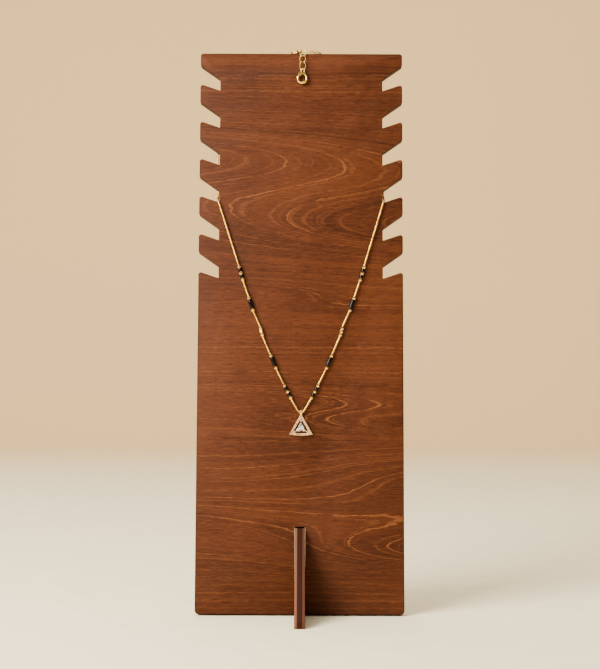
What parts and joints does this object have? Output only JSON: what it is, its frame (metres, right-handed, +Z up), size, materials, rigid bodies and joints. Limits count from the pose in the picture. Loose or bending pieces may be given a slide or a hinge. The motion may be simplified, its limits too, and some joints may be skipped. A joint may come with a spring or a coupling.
{
  "type": "mangalsutra necklace on a wooden display stand",
  "caption": "Gold and black bead necklace with a stone-set triangular pendant and lobster clasps, hung on a notched wooden board that leans on a plywood foot.",
  "frame": {"origin": "on the surface, in the middle of the stand's footprint", "axes": "+Z up, +X to the viewer's right, +Y away from the viewer; the board leans back toward +Y"},
  "size_m": [0.125, 0.102, 0.3448],
  "materials": {
    "board_wood": "stained plywood",
    "foot_wood": "bare cut edge of plywood",
    "chain_gold": "polished gold",
    "bead_gold": "polished and cut gold",
    "black_bead": "polished black",
    "pendant_gold": "polished gold",
    "clear_stone": "cut and polished",
    "small_stone": "cut and polished",
    "clasp_gold": "polished gold",
    "link_gold": "polished gold"
  },
  "bodies": {
    "stand": {"display_board": "board_wood", "board_foot": "foot_wood", "chain": "chain_gold", "bead_left_1": "bead_gold", "bead_left_2": "black_bead", "bead_left_3": "bead_gold", "bead_left_4": "black_bead", "bead_left_5": "bead_gold", "bead_left_6": "bead_gold", "bead_left_7": "black_bead", "bead_left_8": "bead_gold", "bead_left_9": "bead_gold", "bead_left_10": "bead_gold", "bead_left_11": "bead_gold", "bead_left_12": "bead_gold", "bead_left_13": "black_bead", "bead_left_14": "bead_gold", "bead_left_15": "bead_gold", "bead_left_16": "black_bead", "bead_left_17": "bead_gold", "bead_left_18": "black_bead", "bead_left_19": "bead_gold", "bead_right_1": "bead_gold", "bead_right_2": "black_bead", "bead_right_3": "bead_gold", "bead_right_4": "black_bead", "bead_right_5": "bead_gold", "bead_right_6": "bead_gold", "bead_right_7": "black_bead", "bead_right_8": "bead_gold", "bead_right_9": "bead_gold", "bead_right_10": "bead_gold", "bead_right_11": "bead_gold", "bead_right_12": "bead_gold", "bead_right_13": "black_bead", "bead_right_14": "bead_gold", "bead_right_15": "bead_gold", "bead_right_16": "black_bead", "bead_right_17": "bead_gold", "bead_right_18": "black_bead", "bead_right_19": "bead_gold", "hanging_clasp": "clasp_gold", "lying_clasp": "clasp_gold", "top_link": "link_gold", "extender_link_1": "link_gold", "extender_link_2": "link_gold", "jump_ring": "link_gold", "small_links": "link_gold", "end_cap_left": "link_gold", "end_cap_right": "link_gold"},
    "pendant": {"pendant_frame": "pendant_gold", "middle_stone": "clear_stone", "small_stones": "small_stone"},
    "hanging_lever": {"hanging_clasp_lever": "clasp_gold"},
    "lying_lever": {"lying_clasp_lever": "clasp_gold"}
  },
  "joints": [
    {"name": "pendant_swing", "type": "hinge", "parent": "stand", "child": "pendant", "pos_m": [0.00045, 0.00743, 0.12075], "axis": [-1, 0, 0], "range_deg": [0, 90]},
    {"name": "hanging_lever_pivot", "type": "hinge", "parent": "stand", "child": "hanging_lever", "pos_m": [0.00165, 0.03428, 0.32889], "axis": [0, 0.9914, -0.1305], "range_deg": [0, 25], "stiffness_Nm_per_rad": 0.007, "springref_deg": -9.74},
    {"name": "lying_lever_pivot", "type": "hinge", "parent": "stand", "child": "lying_lever", "pos_m": [-0.00285, 0.04018, 0.34303], "axis": [0, -0.1305, -0.9914], "range_deg": [0, 25], "stiffness_Nm_per_rad": 0.007, "springref_deg": -9.74}
  ]
}
